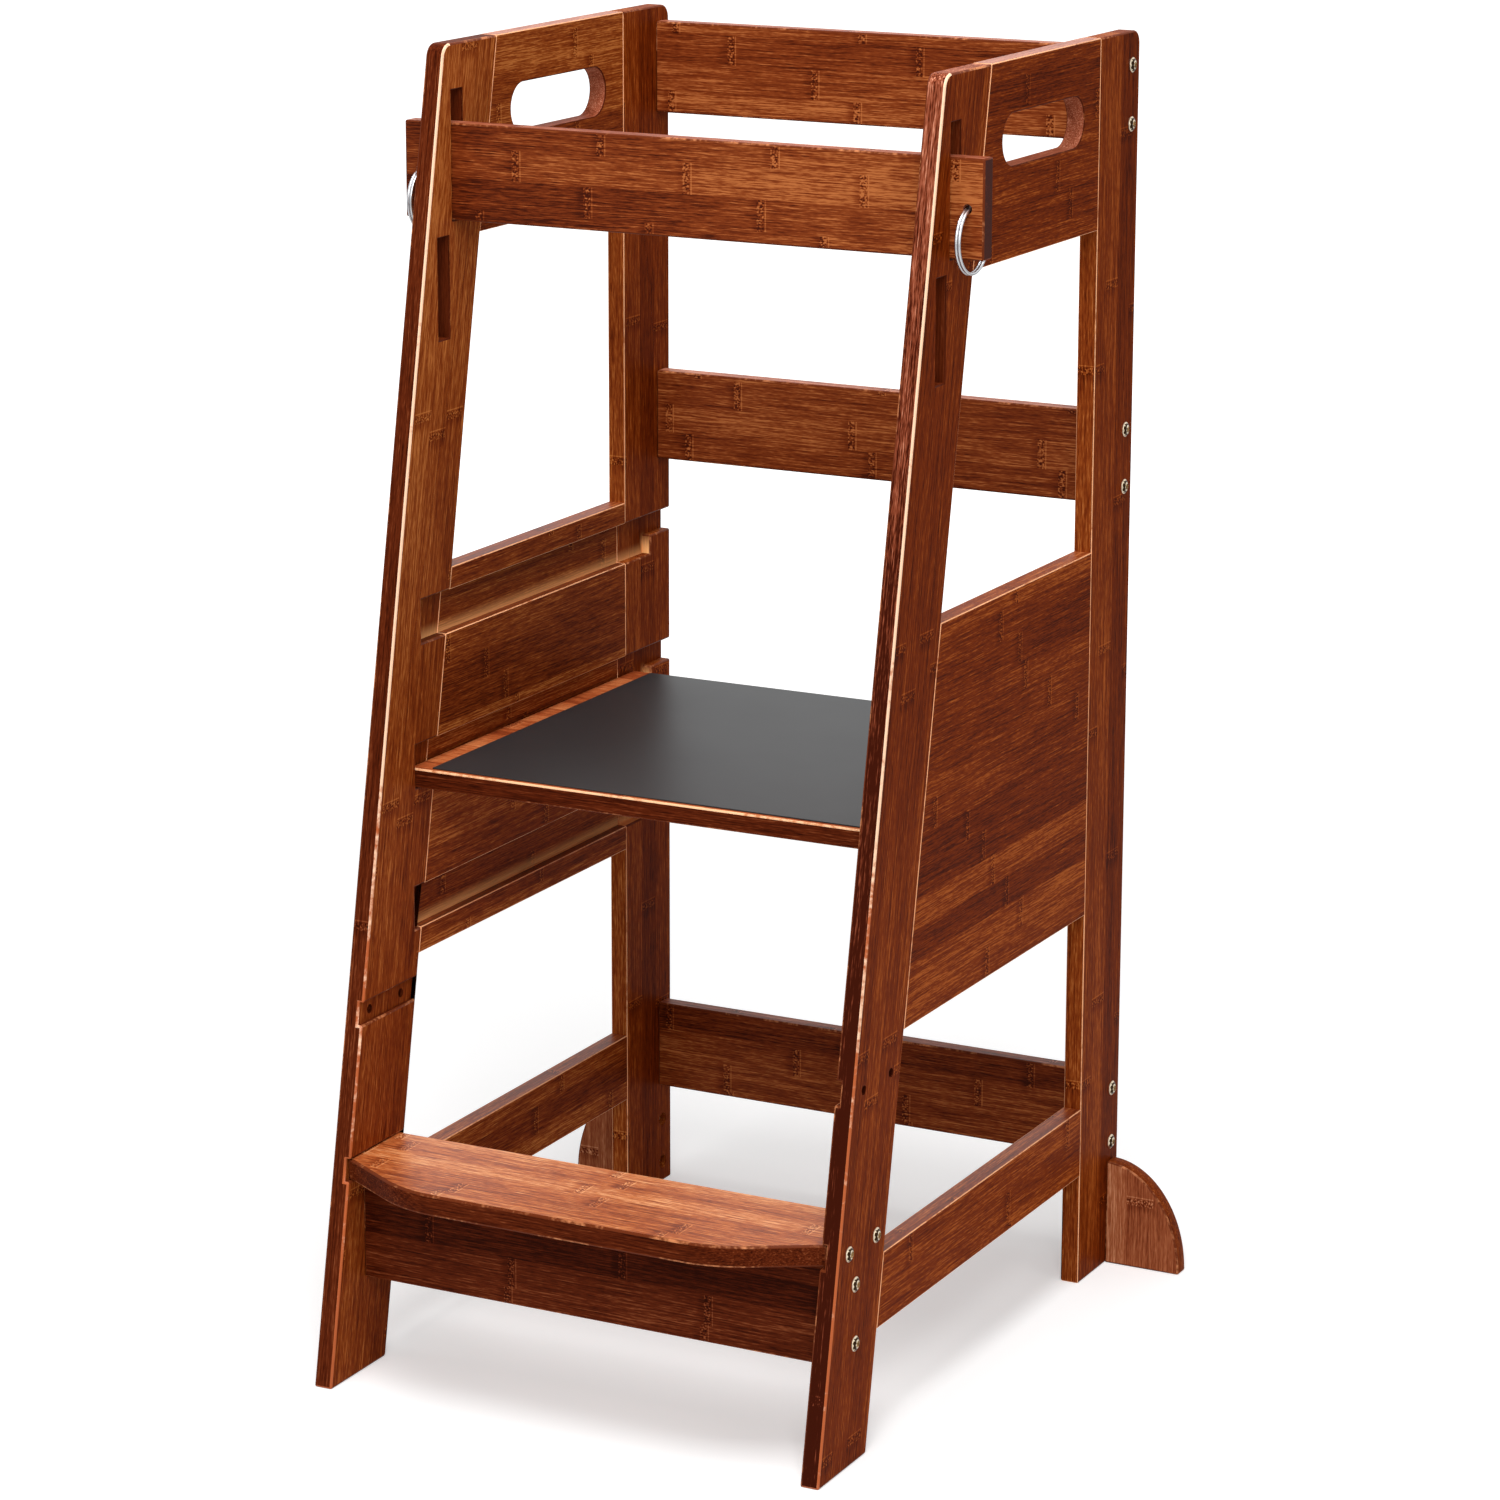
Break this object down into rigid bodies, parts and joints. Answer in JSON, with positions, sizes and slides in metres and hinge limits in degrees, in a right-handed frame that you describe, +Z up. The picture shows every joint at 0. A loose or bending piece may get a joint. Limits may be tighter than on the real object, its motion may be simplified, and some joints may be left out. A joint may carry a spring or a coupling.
{
  "type": "toddler kitchen helper stool",
  "caption": "Tall wooden toddler step stool: leaning front legs, bowed step, standing board in side grooves, lift-out guard rail with wire rings, back rails and side feet.",
  "frame": {"origin": "on the floor, under the middle of the box round the whole stool", "axes": "+X to the stool's right seen from the front, +Y from the front step to the back rails, +Z up"},
  "size_m": [0.501, 0.4946, 0.9],
  "materials": {
    "bamboo_side": "satin stained laminated bamboo, grain along each board",
    "bamboo_rail": "satin stained laminated bamboo, level grain",
    "bamboo_step": "satin stained laminated bamboo, lighter",
    "dowel_wood": "plain glued dowel",
    "grip_sheet": "smooth dark grey sheet",
    "zinc_bolt": "yellowish zinc plating",
    "ring_steel": "polished wire"
  },
  "bodies": {
    "frame": {"left_front_leg": "bamboo_side", "left_rear_leg": "bamboo_side", "left_handle_board": "bamboo_side", "left_side_panel": "bamboo_side", "left_side_rail": "bamboo_side", "left_dowels": "dowel_wood", "left_foot": "bamboo_side", "right_front_leg": "bamboo_side", "right_rear_leg": "bamboo_side", "right_handle_board": "bamboo_side", "right_side_panel": "bamboo_side", "right_side_rail": "bamboo_side", "right_dowels": "dowel_wood", "right_foot": "bamboo_side", "back_rail_top": "bamboo_rail", "top_rail_bolts": "zinc_bolt", "top_rail_nuts": "zinc_bolt", "back_rail_middle": "bamboo_rail", "middle_rail_bolts": "zinc_bolt", "middle_rail_nuts": "zinc_bolt", "back_rail_low": "bamboo_rail", "low_rail_bolts": "zinc_bolt", "low_rail_nuts": "zinc_bolt", "front_apron": "bamboo_rail", "apron_bolts": "zinc_bolt", "apron_nuts": "zinc_bolt", "front_step": "bamboo_step", "step_bolts": "zinc_bolt", "step_nuts": "zinc_bolt", "foot_bolts": "zinc_bolt", "foot_nuts": "zinc_bolt"},
    "guard_rail": {"guard_rail": "bamboo_rail"},
    "left_ring": {"left_ring": "ring_steel"},
    "right_ring": {"right_ring": "ring_steel"},
    "platform": {"platform_board": "bamboo_rail", "platform_sheet": "grip_sheet"}
  },
  "joints": [
    {"name": "guard_rail_lift", "type": "slide", "parent": "frame", "child": "guard_rail", "axis": [0, 0, 1], "range_m": [0, 0.0216]},
    {"name": "left_ring_swing", "type": "hinge", "parent": "guard_rail", "child": "left_ring", "pos_m": [-0.20425, -0.05495, 0.8135], "axis": [0, 1, 0], "range_deg": [-12, 190]},
    {"name": "right_ring_swing", "type": "hinge", "parent": "guard_rail", "child": "right_ring", "pos_m": [0.20425, -0.05495, 0.8135], "axis": [0, -1, 0], "range_deg": [-12, 190]},
    {"name": "platform_lift", "type": "slide", "parent": "frame", "child": "platform", "axis": [0, 0, 1], "range_m": [0, 0.0158]}
  ]
}
